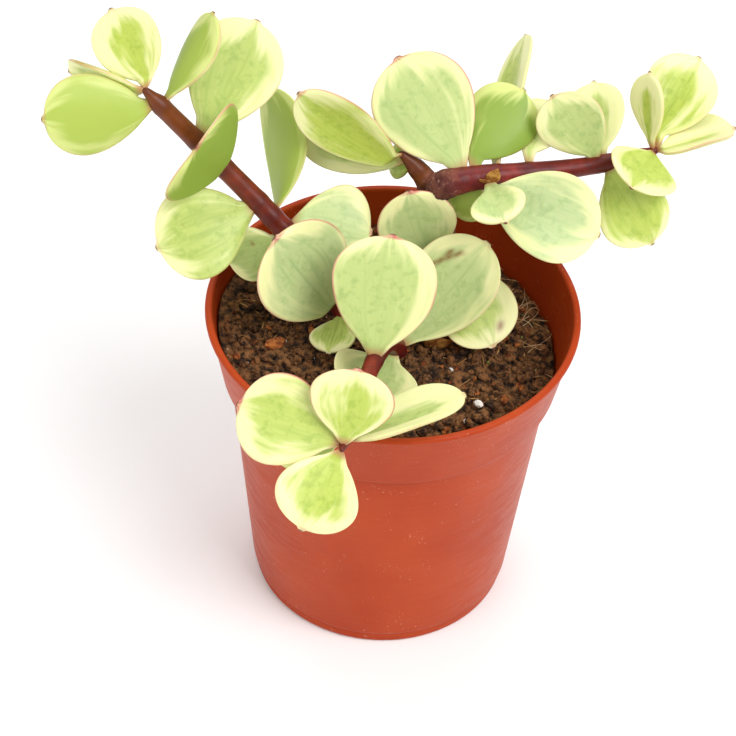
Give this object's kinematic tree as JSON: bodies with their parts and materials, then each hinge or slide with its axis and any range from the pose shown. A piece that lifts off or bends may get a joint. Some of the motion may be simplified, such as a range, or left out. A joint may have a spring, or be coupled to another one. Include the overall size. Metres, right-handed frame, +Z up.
{
  "type": "potted elephant bush",
  "caption": "Variegated succulent cutting with branching stems and fleshy paired leaves, growing in soil in a small round nursery pot.",
  "frame": {"origin": "middle of the pot's foot, on the surface it stands on", "axes": "+Z up along the pot's axis, -Y is the plant's front, +X its right"},
  "size_m": [0.143, 0.1139, 0.1356],
  "materials": {
    "pot": "satin",
    "soil": "rough",
    "bark": "rough",
    "perlite": "rough",
    "stem": "satin",
    "leaf": "satin"
  },
  "bodies": {
    "root": {"bark_chip": "bark", "front_stem": "stem", "leaf_behind_centre": "leaf", "leaf_bowed": "leaf", "leaf_broad_right": "leaf", "leaf_centre": "leaf", "leaf_crown_inner": "leaf", "leaf_crown_outer": "leaf", "leaf_crown_under": "leaf", "leaf_drooping": "leaf", "leaf_end_front": "leaf", "leaf_end_left": "leaf", "leaf_end_narrow": "leaf", "leaf_end_side": "leaf", "leaf_end_tall": "leaf", "leaf_end_top": "leaf", "leaf_fan_back": "leaf", "leaf_fan_front": "leaf", "leaf_forward": "leaf", "leaf_front_down": "leaf", "leaf_front_left": "leaf", "leaf_front_round": "leaf", "leaf_front_side": "leaf", "leaf_front_under": "leaf", "leaf_hanging": "leaf", "leaf_inner_left": "leaf", "leaf_inner_right": "leaf", "leaf_low_left": "leaf", "leaf_low_right": "leaf", "leaf_low_under": "leaf", "leaf_pale": "leaf", "leaf_rear": "leaf", "leaf_right_hanging": "leaf", "leaf_saucer": "leaf", "leaf_scarred": "leaf", "leaf_shaded": "leaf", "leaf_slim": "leaf", "leaf_small_front": "leaf", "leaf_tall": "leaf", "leaf_tallest": "leaf", "leaf_tucked": "leaf", "leaf_upright": "leaf", "left_stem": "stem", "main_stem": "stem", "perlite_large": "perlite", "perlite_small": "perlite", "pot": "pot", "right_branch": "stem", "soil": "soil"}
  },
  "joints": []
}
